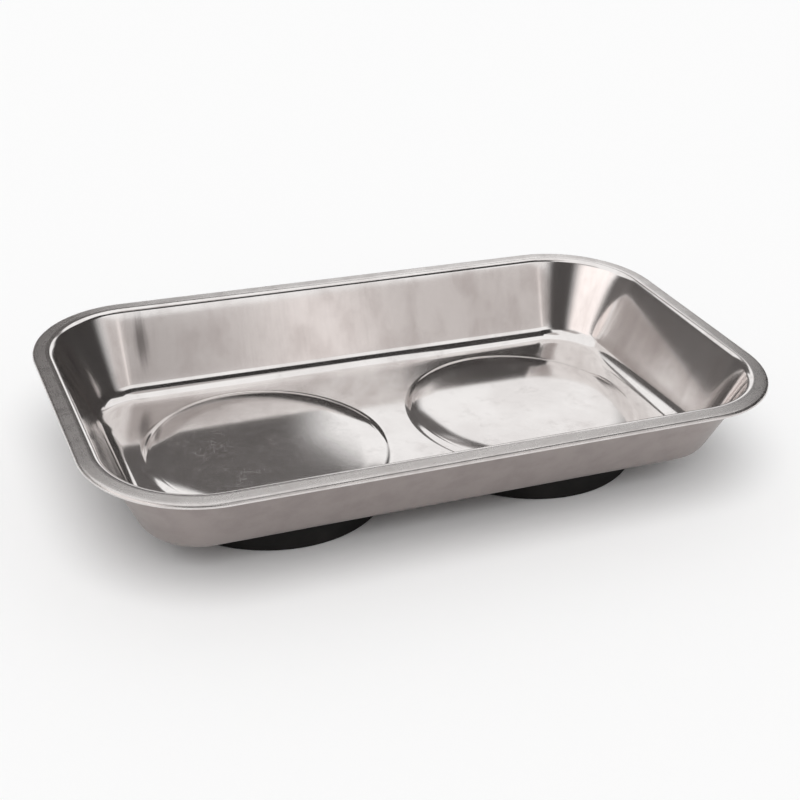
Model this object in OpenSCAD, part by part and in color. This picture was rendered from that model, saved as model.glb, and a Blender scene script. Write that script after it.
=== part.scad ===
// Magnetic parts sorting tray: a drawn stainless pan carried by two rubber covered ring magnets.
// Millimetres. The bench is z = 0, the long side lies along X, and the tray is centred on the origin.

/* [Pan] */
// Length over the rim
pan_length = 240; // [228:1:360]
// Width over the rim
pan_width = 143; // [136:1:260]
// Depth of the well, from the top of the rim down to the floor
well_depth = 28.6; // [16:0.1:38]
// Corner radius of the rim, seen from above
corner_radius = 37.5; // [28:0.5:60]
// Thickness of the drawn sheet
sheet = 0.8; // [0.5:0.1:1.1]
// Slope of the walls away from vertical, in degrees
wall_slope = 25.5; // [8:0.5:32]
// Radius of the bend between wall and floor, inside the well
floor_bend = 7; // [3:0.5:9]

/* [Rim] */
// Width of the flat of the rim, between its turned edge and the bend into the wall
rim_flat = 4; // [2:0.5:7]
// Fall of that flat towards the edge, in degrees
rim_fall = 3; // [0:0.5:6]
// Radius of the bend from the rim into the wall, on its upper face
rim_bend = 2.4; // [1.6:0.1:4]
// Outer radius of the edge that is turned down all round
edge_roll = 1.1; // [1.1:0.05:1.8]

/* [Magnet seats] */
// Height that each seat is pressed up above the floor
seat_rise = 1.3; // [1.2:0.1:1.8]
// How far inside the edge of its magnet a seat stops being flat
seat_inset = 6; // [4:0.5:6.5]
// Radius of the shallow crown round the flat
seat_crown = 60; // [55:1:65]
// Angle at which the crown runs into the shoulder, in degrees
seat_crown_angle = 7; // [6:0.5:7.5]
// Radius of the shoulder
seat_shoulder = 10; // [6:1:10]
// Slope of the step below the shoulder, in degrees
seat_slope = 15.5; // [14:0.5:16.5]
// Radius of the hollow bend at the foot of the step
seat_foot = 6; // [3:0.5:7]
// Clearance between a seat and the lip of the rubber cover that nests in it
seat_clearance = 0.3; // [0.2:0.1:0.6]
// Flat floor left between a seat and the bend of the end wall
seat_margin = 2.7; // [1:0.1:10]

/* [Magnets] */
// Outer diameter of a ring magnet
magnet_diameter = 76; // [50:1:80]
// Bore of a ring magnet
magnet_bore = 23; // [22:0.5:40]
// Thickness of a ring magnet
magnet_thickness = 11; // [10.5:0.5:16]
// Chamfer on the edges of a ring magnet
magnet_chamfer = 0.5; // [0.2:0.1:1]
// Gap between a magnet and the flat of its seat
magnet_gap = 0.4; // [0.4:0.1:0.8]

/* [Rubber covers] */
// Thickness of a cover under its magnet
cover_floor = 3; // [3:0.5:6]
// Thickness of a cover's wall
cover_wall = 3.1; // [2.5:0.1:4]
// Chamfer across the lip of a cover, which leads it into its seat
cover_lip = 1.8; // [1.2:0.1:2]
// Extra radius of a cover at the bench, as draft for the mould
cover_draft = 0.3; // [0.1:0.1:1]
// Rounding of a cover's bottom edge
cover_edge = 0.9; // [0.5:0.1:1.2]
// Thickness of the tube that lines the magnet's bore
hub_wall = 1.5; // [1:0.1:2]
// Thickness of the web that the nut clamps against the pan
hub_web = 2; // [1.5:0.1:2.5]
// Clearance between rubber and what it encloses
rubber_clearance = 0.1; // [0.05:0.05:0.3]

/* [Fastening] */
// Thread diameter of the welded studs
stud_diameter = 6; // [5:0.5:7.5]
// Length of a stud below its seat
stud_length = 12; // [11:0.5:13.5]
// Thickness of the flange that is welded to the pan
weld_flange = 0.9; // [0.5:0.1:1.2]
// How far that flange stands out from the stud
weld_shoulder = 1; // [0.5:0.1:1.2]
// Clearance of a washer's hole round the stud, on the diameter
stud_clearance = 0.4; // [0.2:0.1:0.6]
// Outer diameter of the flat washer
washer_diameter = 18; // [14:0.5:20]
// Thickness of the flat washer
washer_thickness = 1.6; // [1:0.1:2]
// Outer diameter of the split spring washer
spring_diameter = 11.8; // [9.5:0.1:13]
// Thickness of the split spring washer
spring_thickness = 1.6; // [1:0.1:2]
// Width of the split in the spring washer
spring_split = 1; // [0.5:0.1:1.5]
// Width of the nut across its flats
nut_flats = 10; // [9:0.5:12]
// Height of the nut
nut_height = 5; // [3:0.1:5.2]
// Clearance in the nut's thread, on the diameter
thread_clearance = 0.1; // [0.05:0.05:0.2]

/* [Hidden] */
$fn = 96;

// Heights, worked up from the bench
seat_underside = cover_floor + magnet_thickness + magnet_gap;
floor_top = seat_underside - seat_rise + sheet;
rim_top = floor_top + well_depth;

// Plan: each corner is swept about one fixed centre, so its radius shrinks as the wall leans in
corner_x = pan_length / 2 - corner_radius;
corner_y = pan_width / 2 - corner_radius;

// Section through the wall, measured outwards from the corner's centre
rim_face = [sin(rim_fall), cos(rim_fall)];
rim_run = [-cos(rim_fall), sin(rim_fall)];
rim_reach = rim_flat * rim_run + (edge_roll - rim_bend) * rim_face;
rim_bend_centre = [corner_radius - edge_roll + rim_reach.x, rim_top - rim_bend];
edge_centre = rim_bend_centre - rim_reach;
wall_face = [-cos(wall_slope), sin(wall_slope)];
wall_run = [-sin(wall_slope), -cos(wall_slope)];
wall_top = rim_bend_centre + rim_bend * wall_face;
wall_length = (wall_top.y + floor_bend * wall_face.y - floor_top - floor_bend) / cos(wall_slope);
floor_bend_centre = wall_top + wall_length * wall_run + floor_bend * wall_face;

// Rubber cover, and the seat that is pressed to take its lip
cover_bore_radius = magnet_diameter / 2 + rubber_clearance;
cover_radius = cover_bore_radius + cover_wall;
cover_lip_radius = cover_radius - cover_lip;
hub_radius = magnet_bore / 2 - rubber_clearance;
recess_radius = hub_radius - hub_wall;

// Seat: a flat, a shallow crown, a rounded shoulder, a straight slope and a hollow foot, which all touch
seat_flat_radius = magnet_diameter / 2 - seat_inset;
seat_top = floor_top + seat_rise;
seat_crown_centre = [seat_flat_radius, seat_top - seat_crown];
seat_crown_end = [sin(seat_crown_angle), cos(seat_crown_angle)];
seat_shoulder_centre = seat_crown_centre + (seat_crown - seat_shoulder) * seat_crown_end;
seat_slope_face = [sin(seat_slope), cos(seat_slope)];
seat_slope_top = seat_shoulder_centre + seat_shoulder * seat_slope_face;
seat_slope_drop = seat_slope_top.y - floor_top - seat_foot * (1 - cos(seat_slope));
seat_base_radius = seat_slope_top.x + seat_slope_drop / tan(seat_slope) + seat_foot * sin(seat_slope);
seat_foot_centre = [seat_base_radius, floor_top + seat_foot];
foot_x = corner_x + floor_bend_centre.x - seat_margin - seat_base_radius;

// The lip of a cover stays clear of the crown above it
crown_drop = seat_crown - sqrt(seat_crown ^ 2 - (cover_lip_radius - seat_flat_radius) ^ 2);
cover_top = seat_underside - crown_drop - seat_clearance;
cover_lean = atan2(cover_draft, cover_top - cover_lip);

// Fastening, stacked down from the web that it clamps
stud_radius = stud_diameter / 2;
weld_flange_radius = stud_radius + weld_shoulder;
web_hole_radius = weld_flange_radius + rubber_clearance;
stud_hole_radius = stud_radius + stud_clearance / 2;
nut_bore_radius = stud_radius + thread_clearance / 2;
nut_corner_radius = nut_flats / 2 / cos(30);
web_underside = seat_underside - hub_web;
washer_underside = web_underside - washer_thickness;
spring_underside = washer_underside - spring_thickness;
nut_underside = spring_underside - nut_height;

// Straight steps that a bend in a section is drawn with
bend_steps = 10;
// How far a cutting shape runs past the face that it cuts
past = 1;

// ---------------------------------------------------------------- sections

// Points along an arc, from one angle to another
function arc(centre, radius, from, to) = [
    for (i = [0:bend_steps])
        let (angle = from + (to - from) * i / bend_steps)
            centre + radius * [cos(angle), sin(angle)]
];

// The sheet from its turned edge, over the rim and down the wall, to the floor at the corner's centre,
// and back along the underside
module wall_section() {
    polygon(concat(
        arc(edge_centre, edge_roll, 0, 90 - rim_fall),
        arc(rim_bend_centre, rim_bend, 90 - rim_fall, 180 - wall_slope),
        arc(floor_bend_centre, floor_bend, -wall_slope, -90),
        [[0, floor_top], [0, floor_top - sheet]],
        arc(floor_bend_centre, floor_bend + sheet, -90, -wall_slope),
        arc(rim_bend_centre, rim_bend - sheet, 180 - wall_slope, 90 - rim_fall),
        arc(edge_centre, edge_roll - sheet, 90 - rim_fall, 0)
    ));
}

// The pressed seat, measured outwards from its own centre, and back along the underside
module seat_section() {
    crown_stop = 90 - seat_crown_angle;
    slope_stop = 90 - seat_slope;
    polygon(concat(
        [[0, seat_top]],
        arc(seat_crown_centre, seat_crown, 90, crown_stop),
        arc(seat_shoulder_centre, seat_shoulder, crown_stop, slope_stop),
        arc(seat_foot_centre, seat_foot, 180 + slope_stop, 270),
        arc(seat_foot_centre, seat_foot + sheet, 270, 180 + slope_stop),
        arc(seat_shoulder_centre, seat_shoulder - sheet, slope_stop, crown_stop),
        arc(seat_crown_centre, seat_crown - sheet, crown_stop, 90),
        [[0, seat_top - sheet]]
    ));
}

// Half section of a rubber cover: recess, foot, outer wall, lip, pocket for the magnet, hub and web
module cover_section() {
    edge_x = cover_radius + cover_draft - cover_edge * (1 + sin(cover_lean)) / cos(cover_lean);
    polygon(concat(
        [[recess_radius, 0]],
        arc([edge_x, cover_edge], cover_edge, -90, cover_lean),
        [
            [cover_radius, cover_top - cover_lip],
            [cover_lip_radius, cover_top],
            [cover_bore_radius, cover_top],
            [cover_bore_radius, cover_floor],
            [hub_radius, cover_floor],
            [hub_radius, seat_underside],
            [web_hole_radius, seat_underside],
            [web_hole_radius, web_underside],
            [recess_radius, web_underside]
        ]
    ));
}

// ---------------------------------------------------------------- sub-parts

// Moves a foot's pieces under its seat: side is -1 on the left and 1 on the right
module at_foot(side) {
    translate([side * foot_x, 0, 0])
        children();
}

// One corner of the pan in each quadrant, all about their own centres
module pan_corners() {
    for (quadrant = [0:3]) {
        turn = 90 * quadrant;
        side_x = quadrant == 0 || quadrant == 3 ? 1 : -1;
        side_y = quadrant < 2 ? 1 : -1;
        translate([side_x * corner_x, side_y * corner_y, 0])
            rotate(turn)
                rotate_extrude(angle = 90)
                    wall_section();
    }
}

// The four straight walls between the corners
module pan_sides() {
    for (turn = [0, 180]) {
        rotate(turn)
            translate([-corner_x, corner_y, 0])
                rotate([90, 0, 90])
                    linear_extrude(2 * corner_x)
                        wall_section();
        rotate(turn)
            translate([corner_x, corner_y, 0])
                rotate([90, 0, 0])
                    linear_extrude(2 * corner_y)
                        wall_section();
    }
}

// Drawn pan with its two pressed seats
module tray_pan() {
    color("silver") {
        difference() {
            union() {
                pan_corners();
                pan_sides();
                translate([-corner_x, -corner_y, floor_top - sheet])
                    cube([2 * corner_x, 2 * corner_y, sheet]);
            }
            for (side = [-1, 1])
                at_foot(side)
                    translate([0, 0, floor_top - sheet - past])
                        cylinder(h = sheet + 2 * past, r = seat_base_radius);
        }
        for (side = [-1, 1])
            at_foot(side)
                rotate_extrude()
                    seat_section();
    }
}

// Threaded stud with the flange that is welded under the seat
module weld_stud() {
    tip = stud_radius / 6;
    color("lightgray")
        translate([0, 0, seat_underside])
            rotate_extrude()
                polygon([
                    [0, 0],
                    [weld_flange_radius, 0],
                    [weld_flange_radius, -weld_flange],
                    [stud_radius, -weld_flange],
                    [stud_radius, tip - stud_length],
                    [stud_radius - tip, -stud_length],
                    [0, -stud_length]
                ]);
}

// Ferrite ring with chamfered edges
module ring_magnet() {
    inner = magnet_bore / 2;
    outer = magnet_diameter / 2;
    color("dimgray")
        translate([0, 0, cover_floor])
            rotate_extrude()
                polygon([
                    [inner + magnet_chamfer, 0],
                    [outer - magnet_chamfer, 0],
                    [outer, magnet_chamfer],
                    [outer, magnet_thickness - magnet_chamfer],
                    [outer - magnet_chamfer, magnet_thickness],
                    [inner + magnet_chamfer, magnet_thickness],
                    [inner, magnet_thickness - magnet_chamfer],
                    [inner, magnet_chamfer]
                ]);
}

// Moulded rubber cup round the magnet, which is what stands on the bench
module rubber_cover() {
    color("black")
        rotate_extrude()
            cover_section();
}

// Plain washer under the web
module flat_washer() {
    color("lightgray")
        translate([0, 0, washer_underside])
            difference() {
                cylinder(h = washer_thickness, d = washer_diameter);
                translate([0, 0, -past])
                    cylinder(h = washer_thickness + 2 * past, r = stud_hole_radius);
            }
}

// Split washer, drawn flat as it is when tightened, with its slanted split
module spring_washer() {
    slant = 20;
    color("silver")
        translate([0, 0, spring_underside])
            difference() {
                cylinder(h = spring_thickness, d = spring_diameter);
                translate([0, 0, -past])
                    cylinder(h = spring_thickness + 2 * past, r = stud_hole_radius);
                translate([spring_diameter / 2, 0, spring_thickness / 2])
                    rotate([slant, 0, 0])
                        cube([spring_diameter, spring_split, 4 * spring_thickness], center = true);
            }
}

// Hexagon nut, chamfered to a circle at both ends
module hex_nut() {
    crown = nut_corner_radius - nut_flats / 2;
    rise = crown * tan(30);
    color("lightgray")
        translate([0, 0, nut_underside])
            difference() {
                intersection() {
                    cylinder(h = nut_height, r = nut_corner_radius, $fn = 6);
                    rotate_extrude()
                        polygon([
                            [0, 0],
                            [nut_flats / 2, 0],
                            [nut_corner_radius + crown, 2 * rise],
                            [nut_corner_radius + crown, nut_height - 2 * rise],
                            [nut_flats / 2, nut_height],
                            [0, nut_height]
                        ]);
                }
                translate([0, 0, -past])
                    cylinder(h = nut_height + 2 * past, r = nut_bore_radius);
            }
}

tray_pan();
at_foot(-1) weld_stud();  // left_weld_stud
at_foot(-1) ring_magnet();  // left_ring_magnet
at_foot(-1) rubber_cover();  // left_rubber_cover
at_foot(-1) flat_washer();  // left_flat_washer
at_foot(-1) spring_washer();  // left_spring_washer
at_foot(-1) hex_nut();  // left_hex_nut
at_foot(1) weld_stud();  // right_weld_stud
at_foot(1) ring_magnet();  // right_ring_magnet
at_foot(1) rubber_cover();  // right_rubber_cover
at_foot(1) flat_washer();  // right_flat_washer
at_foot(1) spring_washer();  // right_spring_washer
at_foot(1) hex_nut();  // right_hex_nut
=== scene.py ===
"""Magnetic parts tray: finished sheet, moulded feet, fastenings and studio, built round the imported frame.

Lengths inside the classes are in millimetres, and MM turns them into metres as a mesh is made.
"""
import logging
import math
from dataclasses import dataclass, field
from enum import Enum

import bpy
import numpy as np
from mathutils import Matrix, Vector


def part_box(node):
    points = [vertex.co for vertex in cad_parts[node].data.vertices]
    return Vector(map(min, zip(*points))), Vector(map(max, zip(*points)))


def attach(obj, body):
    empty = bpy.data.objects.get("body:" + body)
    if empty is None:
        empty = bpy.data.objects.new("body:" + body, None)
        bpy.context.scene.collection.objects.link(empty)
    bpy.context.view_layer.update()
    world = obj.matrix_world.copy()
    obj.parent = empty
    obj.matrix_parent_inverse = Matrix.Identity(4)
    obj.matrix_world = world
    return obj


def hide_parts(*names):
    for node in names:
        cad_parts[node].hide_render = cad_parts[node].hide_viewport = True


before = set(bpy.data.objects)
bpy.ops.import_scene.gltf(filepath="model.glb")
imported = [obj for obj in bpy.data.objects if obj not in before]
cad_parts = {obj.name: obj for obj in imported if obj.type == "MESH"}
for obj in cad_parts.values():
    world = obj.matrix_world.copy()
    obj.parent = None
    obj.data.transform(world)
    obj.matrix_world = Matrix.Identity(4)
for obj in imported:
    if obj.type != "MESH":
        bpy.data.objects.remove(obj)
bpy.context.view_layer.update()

Socket = bpy.types.NodeSocket
Pair = tuple[float, float]
Spot = tuple[float, float, float]
Colour = tuple[float, float, float, float]

MM = 0.001
BODY = "root"
log = logging.getLogger("parts_tray")


# ---------------------------------------------------------------- surfaces


def arc(centre: Pair, radius: float, start: float, end: float, steps: int) -> np.ndarray:
    """Points on an arc: centre + radius * (cos a, sin a), with a running evenly from start to end.

    Args:
        centre: Centre of the arc.
        radius: Radius of the arc.
        start: First angle, in degrees.
        end: Last angle, in degrees.
        steps: Number of equal steps.

    Returns:
        The points as an array of shape (steps + 1, 2).
    """
    angle = np.radians(np.linspace(start, end, steps + 1))
    return np.stack([centre[0] + radius * np.cos(angle), centre[1] + radius * np.sin(angle)], axis=1)


def line(start: Pair, end: Pair, steps: int) -> np.ndarray:
    """Points on a straight stretch: start + t * (end - start), without its two ends.

    Args:
        start: Where the stretch starts.
        end: Where it ends.
        steps: Number of equal steps, so steps - 1 points lie between the ends.

    Returns:
        The points as an array of shape (steps - 1, 2).
    """
    t = np.linspace(0.0, 1.0, steps + 1)[1:-1, None]
    return np.asarray(start) + t * (np.asarray(end) - np.asarray(start))


class Skin:
    """Collects grids of points in millimetres and welds them into one closed mesh."""

    def __init__(self) -> None:
        """Starts an empty skin."""
        self.points: list[np.ndarray] = []
        self.facets: list[np.ndarray] = []
        self.values: dict[str, list[np.ndarray]] = {}
        self.count = 0

    def grid(self, points: np.ndarray, closed: tuple[bool, bool], **values: np.ndarray) -> None:
        """Adds a grid whose point (i, j) is joined to (i + 1, j) and (i, j + 1).

        A face's outside is on the side that the rows' direction crossed with the columns' points to.

        Args:
            points: Array of shape (rows, columns, 3).
            closed: Whether the last row joins the first, and the last column the first.
            values: Named numbers that each point carries, of shape (rows, columns).
        """
        rows, columns = points.shape[:2]
        index = self.count + np.arange(rows * columns).reshape(rows, columns)
        if closed[0]:
            index = np.vstack([index, index[:1]])
        if closed[1]:
            index = np.hstack([index, index[:, :1]])
        corners = (index[:-1, :-1], index[1:, :-1], index[1:, 1:], index[:-1, 1:])
        self.facets.append(np.stack([c.ravel() for c in corners], axis=1))
        self.points.append(points.reshape(-1, 3))
        for name, value in values.items():
            full = np.broadcast_to(value, (rows, columns))
            self.values.setdefault(name, []).append(full.ravel())
        self.count += rows * columns

    def mesh(self, name: str, sharp: float | None = None) -> bpy.types.Object:
        """Welds points that coincide, turns collapsed quads into triangles and makes the object.

        Args:
            name: Name of the object and of its mesh.
            sharp: Edges that turn by more than this many degrees are kept crisp; None rounds them all.

        Returns:
            The object, at the origin, smooth shaded.
        """
        points = np.concatenate(self.points)
        keys = np.round(points * 1e5).astype(np.int64)
        _, first, merged = np.unique(keys, axis=0, return_index=True, return_inverse=True)
        facets = merged.ravel()[np.concatenate(self.facets)]
        repeated = facets == np.roll(facets, -1, axis=1)
        quads = facets[~repeated.any(axis=1)]
        slim = facets[repeated.sum(axis=1) == 1]
        kept = ~(slim == np.roll(slim, -1, axis=1))
        triangles = slim[kept].reshape(-1, 3)
        data = bpy.data.meshes.new(name)
        data.from_pydata((points[first] * MM).tolist(), [], quads.tolist() + triangles.tolist())
        for label, value in self.values.items():
            layer = data.attributes.new(label, "FLOAT", "POINT")
            layer.data.foreach_set("value", np.concatenate(value)[first].astype(np.float32))
        data.polygons.foreach_set("use_smooth", np.ones(len(data.polygons), dtype=bool))
        if sharp is not None:
            data.set_sharp_from_angle(angle=math.radians(sharp))
        data.validate()
        made = bpy.data.objects.new(name, data)
        bpy.context.scene.collection.objects.link(made)
        return made


def turned(radius: np.ndarray, height: np.ndarray, centre: Pair, columns: int) -> np.ndarray:
    """Carries an outline about an upright axis.

    Point (i, j) is centre + radius_ij * (cos a_j, sin a_j) at height_ij, with a_j running once round.

    Args:
        radius: Array of shape (rows, 1) or (rows, columns), along an outline that runs anticlockwise
            with the radius to the right and the height up.
        height: Array of the same shape, or one that broadcasts to it.
        centre: Place of the axis in plan.
        columns: Number of steps round the axis.

    Returns:
        The grid, of shape (rows, columns, 3), with its outside facing outwards.
    """
    angle = np.linspace(0.0, 2.0 * np.pi, columns, endpoint=False)
    x = centre[0] + radius * np.cos(angle)
    y = centre[1] + radius * np.sin(angle)
    return np.stack([x, y, np.broadcast_to(height, x.shape)], axis=2)[::-1]


def screw(height: np.ndarray, columns: int, crest: float, pitch: float) -> np.ndarray:
    """Radius of a right-hand screw thread at each height and angle.

    With t the fraction of a turn left in height / pitch - angle / 2 pi, the radius falls from the crest
    to the root along two flanks, and both have the flats of a metric thread.

    Args:
        height: Heights, of shape (rows, 1).
        columns: Number of steps round the axis.
        crest: Radius over the crests.
        pitch: Rise of one turn.

    Returns:
        The radii, of shape (rows, columns).
    """
    turn = np.linspace(0.0, 1.0, columns, endpoint=False)
    crested = np.abs(2.0 * np.mod(height / pitch - turn, 1.0) - 1.0)
    return crest - 0.6134 * pitch * (1.0 - np.clip((crested - 0.25) / 0.625, 0.0, 1.0))


def crisp(corners: list[Spot], steps: int = 4) -> np.ndarray:
    """Closed outline whose corners are rounded, each by the arc that touches both of its sides.

    Args:
        corners: (x, y, radius of the rounding) of each corner, anticlockwise.
        steps: Number of steps in each rounding.

    Returns:
        The outline's points, of shape (n, 2).
    """
    run = []
    for i, (x, y, radius) in enumerate(corners):
        here = Vector((x, y))
        back = (Vector(corners[i - 1][:2]) - here).normalized()
        ahead = (Vector(corners[(i + 1) % len(corners)][:2]) - here).normalized()
        if radius == 0.0:
            run.append(np.array([[x, y]]))
            continue
        half = back.angle(ahead) / 2.0
        reach = radius / math.tan(half)
        hub = here + (back + ahead).normalized() * (radius / math.sin(half))
        first, last = here + back * reach - hub, here + ahead * reach - hub
        start = math.degrees(math.atan2(first.y, first.x))
        turn = math.degrees(math.atan2(first.x * last.y - first.y * last.x, first.dot(last)))
        run.append(arc(tuple(hub), radius, start, start + turn, steps))
    return np.concatenate(run)


# ---------------------------------------------------------------- shader wiring


class Value:
    """A number that varies over a surface. Each operator adds the Math node that works it out."""

    def __init__(self, wiring: "Wiring", socket: Socket) -> None:
        """Wraps an output socket of the wiring's tree."""
        self.wiring = wiring
        self.socket = socket

    def math(self, operation: str, *others: "Value | float", clamp: bool = False) -> "Value":
        """Adds a Math node.

        Args:
            operation: What the node works out.
            others: What it takes besides this value.
            clamp: Whether the result is held between 0 and 1.

        Returns:
            The result.
        """
        inputs = {str(i): v for i, v in enumerate((self, *others))}
        made = self.wiring.add("ShaderNodeMath", {"operation": operation, "use_clamp": clamp}, inputs)
        return Value(self.wiring, made.outputs[0])

    def __add__(self, other: "Value | float") -> "Value":
        """self + other."""
        return self.math("ADD", other)

    __radd__ = __add__

    def __mul__(self, other: "Value | float") -> "Value":
        """self * other."""
        return self.math("MULTIPLY", other)

    __rmul__ = __mul__

    def __sub__(self, other: "Value | float") -> "Value":
        """self - other."""
        return self.math("SUBTRACT", other)

    def __rsub__(self, other: float) -> "Value":
        """other - self."""
        return (self * -1.0) + other

    def clamped(self) -> "Value":
        """The value held between 0 and 1."""
        return self.math("ADD", 0.0, clamp=True)

    def ramp(self, low: float, high: float) -> "Value":
        """Smooth step, which falls where low is above high.

        Args:
            low: Value at which the step is still 0.
            high: Value from which it is 1.

        Returns:
            The step.
        """
        settings = {"interpolation_type": "SMOOTHSTEP"}
        sockets = {"Value": self, "From Min": low, "From Max": high}
        return Value(self.wiring, self.wiring.add("ShaderNodeMapRange", settings, sockets).outputs[0])


class Wiring:
    """Node tree of one material or world, wired from typed calls."""

    def __init__(self, owner: bpy.types.Material | bpy.types.World) -> None:
        """Clears the owner's tree and starts afresh.

        Args:
            owner: Material or world to wire.
        """
        owner.use_nodes = True
        self.tree = owner.node_tree
        self.tree.nodes.clear()

    def add(self, kind: str, settings: dict[str, object], inputs: dict[str, object]) -> bpy.types.Node:
        """Adds one node.

        Args:
            kind: Type name of the node.
            settings: Properties, set before the sockets.
            inputs: Value or link of each socket, by its name, its identifier or its number.

        Returns:
            The node.
        """
        node = self.tree.nodes.new(kind)
        for name, setting in settings.items():
            setattr(node, name, setting)
        for name, given in inputs.items():
            socket = self.find(node, name)
            link = getattr(given, "socket", given)
            if isinstance(link, Socket):
                self.tree.links.new(link, socket)
            else:
                socket.default_value = link
        return node

    @staticmethod
    def find(node: bpy.types.Node, name: str) -> Socket:
        """The enabled input socket with this name or identifier, or of this number."""
        if name.isdigit():
            return node.inputs[int(name)]
        return next(s for s in node.inputs if s.enabled and name in (s.identifier, s.name))

    def attribute(self, name: str) -> Value:
        """A number that the mesh carries at each point."""
        node = self.add("ShaderNodeAttribute", {"attribute_name": name}, {})
        return Value(self, node.outputs["Fac"])

    def place(self) -> Socket:
        """Object coordinates, in metres."""
        return self.add("ShaderNodeTexCoord", {}, {}).outputs["Object"]

    def vector(self, x: Value | float, y: Value | float, z: Value | float) -> Socket:
        """A vector put together from three numbers."""
        return self.add("ShaderNodeCombineXYZ", {}, {"X": x, "Y": y, "Z": z}).outputs[0]

    def distance(self, at: Socket, spot: Spot) -> Value:
        """How far each point is from a spot.

        Args:
            at: Coordinates of each point.
            spot: The spot, in the same coordinates.

        Returns:
            The distance.
        """
        sockets = {"Vector": at, "Vector_001": spot}
        node = self.add("ShaderNodeVectorMath", {"operation": "DISTANCE"}, sockets)
        return Value(self, node.outputs["Value"])

    def mapped(self, at: Socket, scale: Spot, turn: float = 0.0, shift: Spot = (0.0, 0.0, 0.0)) -> Socket:
        """Coordinates moved, turned about Z by an angle in degrees, and stretched by an upright scale.

        Args:
            at: Coordinates to start from.
            scale: Stretch along the turned axes.
            turn: Angle in degrees.
            shift: Place that becomes the new origin.

        Returns:
            The new coordinates.
        """
        back = tuple(-s for s in shift)
        moved = self.add("ShaderNodeMapping", {}, {"Vector": at, "Location": back}).outputs[0]
        spin = (0.0, 0.0, math.radians(turn))
        spun = self.add("ShaderNodeMapping", {}, {"Vector": moved, "Rotation": spin}).outputs[0]
        return self.add("ShaderNodeMapping", {}, {"Vector": spun, "Scale": scale}).outputs[0]

    def noise(self, at: Socket, scale: float, detail: float, rough: float) -> Value:
        """Fractal noise about 0.5.

        Args:
            at: Coordinates.
            scale: Features per unit of the coordinates.
            detail: Octaves.
            rough: How much each octave keeps.

        Returns:
            The noise.
        """
        sockets = {"Vector": at, "Scale": scale, "Detail": detail, "Roughness": rough}
        return Value(self, self.add("ShaderNodeTexNoise", {}, sockets).outputs["Fac"])

    def blend(self, share: Value | float, first: object, second: object) -> Socket:
        """Colour between two colours, by share."""
        node = self.add("ShaderNodeMix", {"data_type": "RGBA"}, {
            "Factor_Float": share, "A_Color": first, "B_Color": second
        })
        return next(s for s in node.outputs if s.enabled)

    def bump(self, height: Value, depth: float, under: Socket | None = None) -> Socket:
        """Normal tilted by a height pattern.

        Args:
            height: Pattern, from 0 to 1.
            depth: Height in metres that the pattern's 1 stands for.
            under: Normal from a coarser bump, if any.

        Returns:
            The tilted normal.
        """
        sockets: dict[str, object] = {"Height": height, "Distance": depth, "Strength": 1.0}
        if under is not None:
            sockets["Normal"] = under
        return self.add("ShaderNodeBump", {}, sockets).outputs[0]

    def mixed(self, share: Value, first: bpy.types.Node, second: bpy.types.Node) -> Socket:
        """Shader between two shaders, by share."""
        sockets = {"0": share, "1": first.outputs[0], "2": second.outputs[0]}
        return self.add("ShaderNodeMixShader", {}, sockets).outputs[0]

    def finish(self, shader: Socket) -> None:
        """Joins the shader to the material's output."""
        self.add("ShaderNodeOutputMaterial", {}, {"Surface": shader})


def rgb(red: float, green: float, blue: float) -> Colour:
    """An opaque colour from linear red, green and blue."""
    return (red, green, blue, 1.0)


# ---------------------------------------------------------------- finishes


@dataclass(frozen=True)
class Finish:
    """Finish of one kind of piece. Each kind wires a shader of its own."""

    name: str

    def shader(self, wires: Wiring) -> Socket:
        """Wires the shader; every kind of finish has its own."""
        raise NotImplementedError

    def material(self) -> bpy.types.Material:
        """Builds the material.

        Returns:
            The material, with the finish's shader on its output.
        """
        made = bpy.data.materials.new(self.name)
        wires = Wiring(made)
        wires.finish(self.shader(wires))
        return made


class SheetMarks:
    """Patterns that the colour, gloss and relief of the sheet share, laid out on the pan's own numbers."""

    def __init__(self, wires: Wiring) -> None:
        """Reads the pan's "under", "rim", "round_x", "round_y" and "down", and works out the patterns.

        Args:
            wires: The material's wiring.
        """
        self.wires = wires
        self.place = place = wires.place()
        self.under, self.rim = wires.attribute("under"), wires.attribute("rim")
        x, y, self.down = (wires.attribute(name) for name in ("round_x", "round_y", "down"))
        self.wall = self.down.ramp(0.002, 0.011) * (1.0 - self.under)
        # drawing lines and smears run down the wall, brushing runs along the rim
        lines, smears, stains, brushed = (
            wires.vector(x * along, y * along, self.down * down)
            for along, down in ((1.0, 0.03), (1.0, 0.22), (1.0, 0.6), (0.05, 1.0))
        )
        self.draw = wires.noise(lines, 900.0, 3.0, 0.6)
        self.smear = wires.noise(smears, 75.0, 3.0, 0.6).ramp(0.52, 0.78) * self.wall
        self.brush = wires.noise(brushed, 2600.0, 3.0, 0.6) * self.rim
        self.cloud = wires.noise(place, 38.0, 3.0, 0.5)
        self.mottle = wires.noise(place, 150.0, 4.0, 0.65)
        self.grain = wires.noise(place, 2600.0, 2.0, 0.6)
        self.spots = wires.noise(place, 120.0, 3.0, 0.6).ramp(0.52, 0.74) * (1.0 - self.wall)
        stain = wires.noise(stains, 95.0, 3.0, 0.55).ramp(0.42, 0.68) * self.wall
        cloudy = self.cloud.ramp(0.4, 0.7) * 0.3
        self.tarnish = cloudy + stain * 0.3 + self.spots * 0.2 + self.smear * 0.25


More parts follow.
